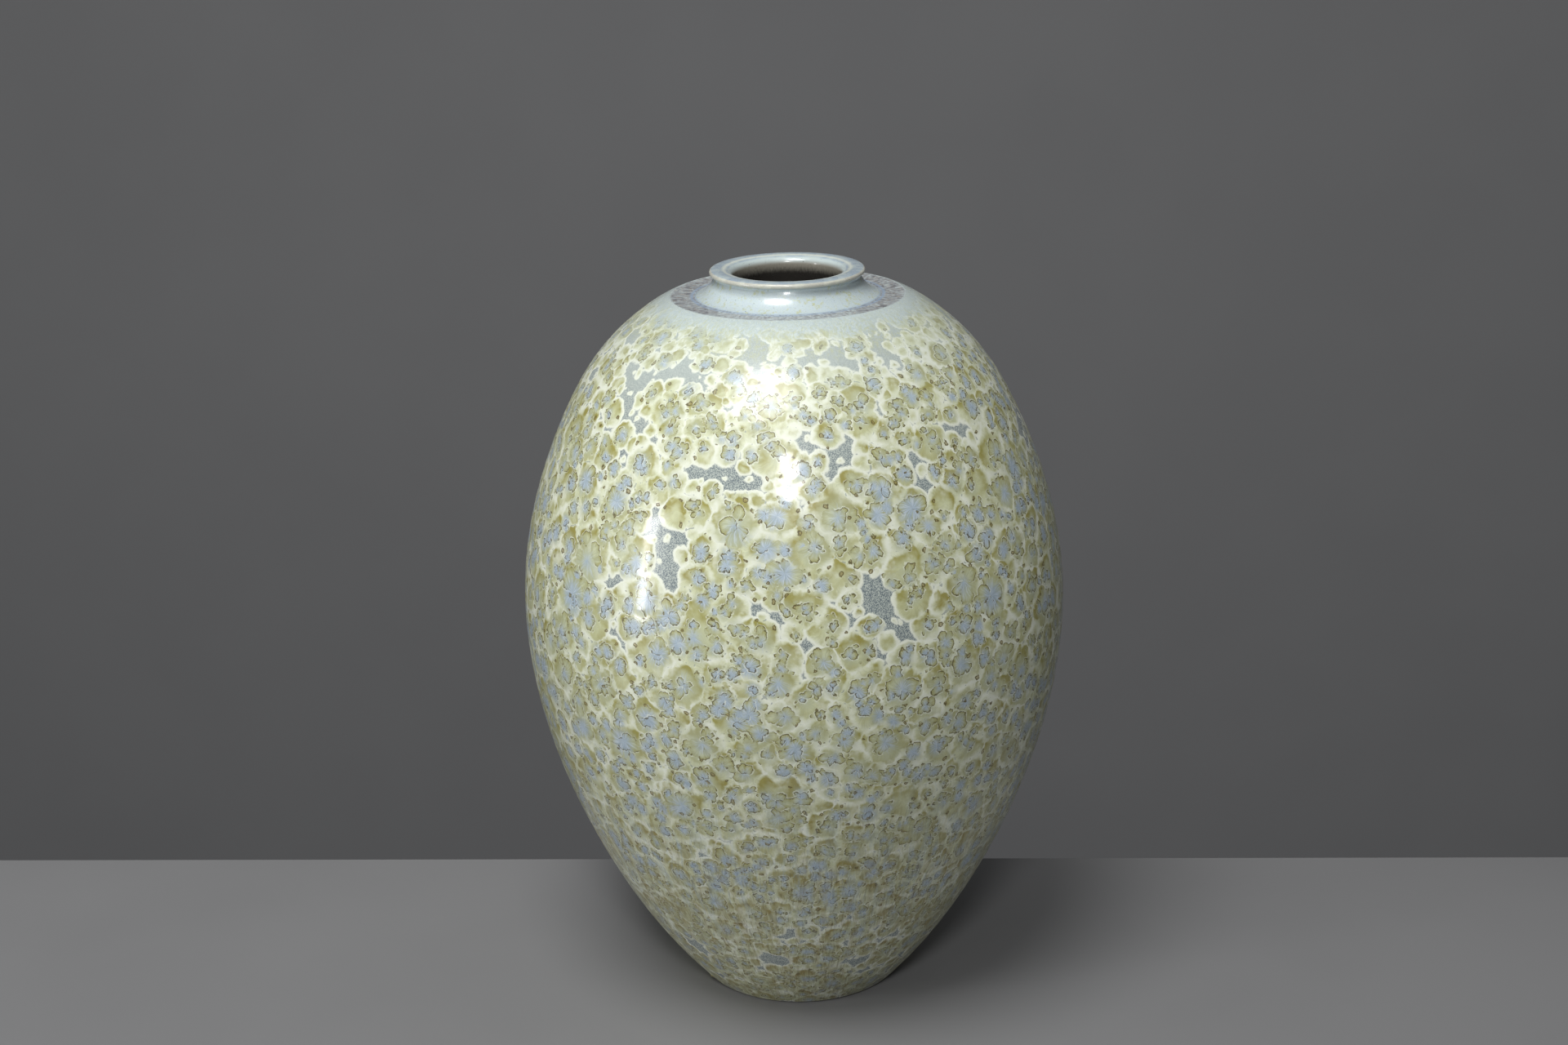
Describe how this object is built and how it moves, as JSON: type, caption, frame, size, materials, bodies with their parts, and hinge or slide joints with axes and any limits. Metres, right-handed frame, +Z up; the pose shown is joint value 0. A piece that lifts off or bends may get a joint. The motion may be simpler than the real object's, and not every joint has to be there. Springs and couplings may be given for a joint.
{
  "type": "moon jar",
  "caption": "Tall ovoid ceramic jar with a short flared neck, rounded lip and turned foot, in a pale crystalline glaze; holds dry goods, liquid or stems.",
  "frame": {"origin": "centre of the foot, on the surface that the jar stands on", "axes": "+Z up the axis of the jar, out of its mouth; the jar is round about +Z, so +X and +Y are free"},
  "size_m": [0.2906, 0.2906, 0.4],
  "materials": {
    "clay": "bare fired stoneware, matte",
    "slip": "fired joining slip, matte",
    "crystal_glaze": "glossy zinc crystalline glaze, olive and cream rosettes with blue needles",
    "band_glaze": "satin lilac-grey glaze, streaked round the neck",
    "neck_glaze": "glossy pale blue-white glaze breaking cream at the lip",
    "liner_glaze": "satin grey-cream liner glaze"
  },
  "bodies": {
    "root": {"foot_ring": "clay", "foot_slip_seam": "slip", "lower_bowl": "clay", "waist_slip_seam": "slip", "upper_bowl": "clay", "neck_slip_seam": "slip", "neck_collar": "clay", "lower_glaze_coat": "crystal_glaze", "upper_glaze_coat": "crystal_glaze", "shoulder_band_glaze": "band_glaze", "neck_glaze": "neck_glaze", "lower_liner_glaze": "liner_glaze", "upper_liner_glaze": "liner_glaze"}
  },
  "joints": []
}
